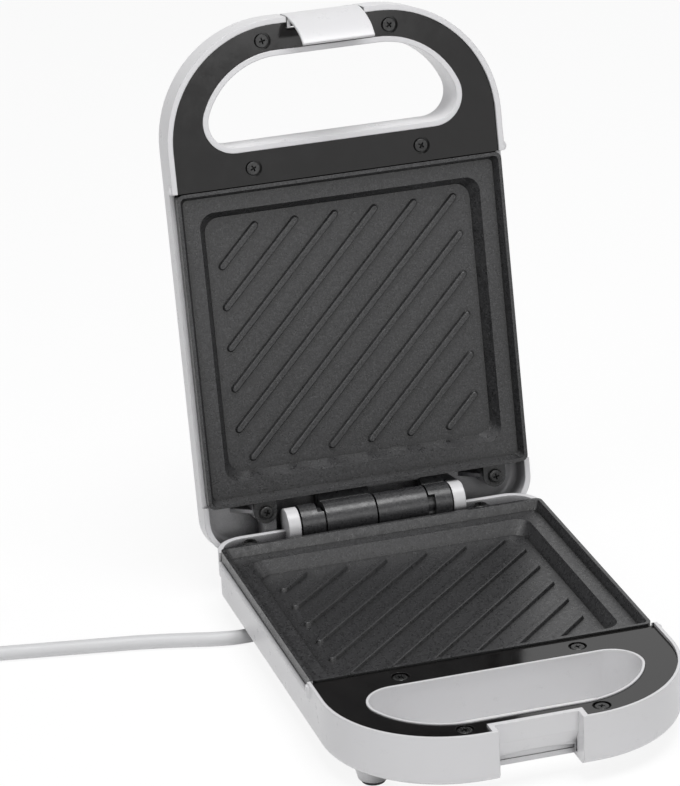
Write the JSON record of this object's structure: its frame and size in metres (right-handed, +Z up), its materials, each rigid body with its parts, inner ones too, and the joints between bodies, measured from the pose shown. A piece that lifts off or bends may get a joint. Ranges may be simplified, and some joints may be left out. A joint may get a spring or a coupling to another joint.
{
  "type": "sandwich toaster",
  "caption": "One-slice sandwich toaster with two ridged non-stick plates, a hinged lid standing open, D-shaped handle rings and a swinging front latch.",
  "frame": {"origin": "on the table, under the middle of the width and depth of the open toaster, its cord left out", "axes": "+X to the right seen from the handle, +Y from the handle to the hinge, +Z up"},
  "size_m": [0.3021, 0.3021, 0.2154],
  "materials": {
    "white_shell": "glossy moulded white plastic",
    "black_panel": "polished black plastic",
    "nonstick": "dark grey non-stick coat on cast aluminium, fine grain, satin",
    "hinge_metal": "dark grey satin coat",
    "black_screw": "blackened steel, satin",
    "steel": "plain zinc-plated steel",
    "element": "dull heat-darkened steel tube",
    "pad_rubber": "matt black rubber",
    "cord_plastic": "smooth white cord sheath",
    "plug_plastic": "satin white moulded plug",
    "tie": "matt black band",
    "red_lens": "clear red lens",
    "green_lens": "clear green lens",
    "lamp_glass": "small glass lamp",
    "inner_body": "heat-proof tan moulding"
  },
  "bodies": {
    "base": {"base_shell": "white_shell", "base_panel": "black_panel", "lower_plate": "nonstick", "lower_element": "element", "lower_reflector": "steel", "base_panel_screws": "black_screw", "base_plate_screws": "black_screw", "base_hinge_screws": "steel", "foot_pads": "pad_rubber", "base_hinge": "hinge_metal", "hinge_pin": "steel", "thermostat": "inner_body", "thermal_fuse": "inner_body", "terminal_block": "inner_body", "cord_boot": "cord_plastic", "cord": "cord_plastic", "cord_coil": "cord_plastic", "cord_tie": "tie", "cord_tail": "cord_plastic", "plug_body": "plug_plastic", "plug_pins": "steel"},
    "lid": {"lid_shell": "white_shell", "lid_panel": "black_panel", "upper_plate": "nonstick", "upper_element": "element", "upper_reflector": "steel", "lid_panel_screws": "black_screw", "lid_plate_screws": "black_screw", "lid_hinge_screws": "steel", "lid_hinge": "hinge_metal", "power_lens": "red_lens", "ready_lens": "green_lens", "power_lamp": "lamp_glass", "ready_lamp": "lamp_glass", "latch_pin": "steel"},
    "latch": {"latch": "white_shell"}
  },
  "joints": [
    {"name": "lid_hinge", "type": "hinge", "parent": "base", "child": "lid", "pos_m": [0, 0.06978, 0.026], "axis": [1, 0, 0], "range_deg": [0, 100.9]},
    {"name": "latch_pivot", "type": "hinge", "parent": "lid", "child": "latch", "pos_m": [0, 0.11439, 0.21165], "axis": [-1, 0, 0], "range_deg": [0, 60]}
  ]
}
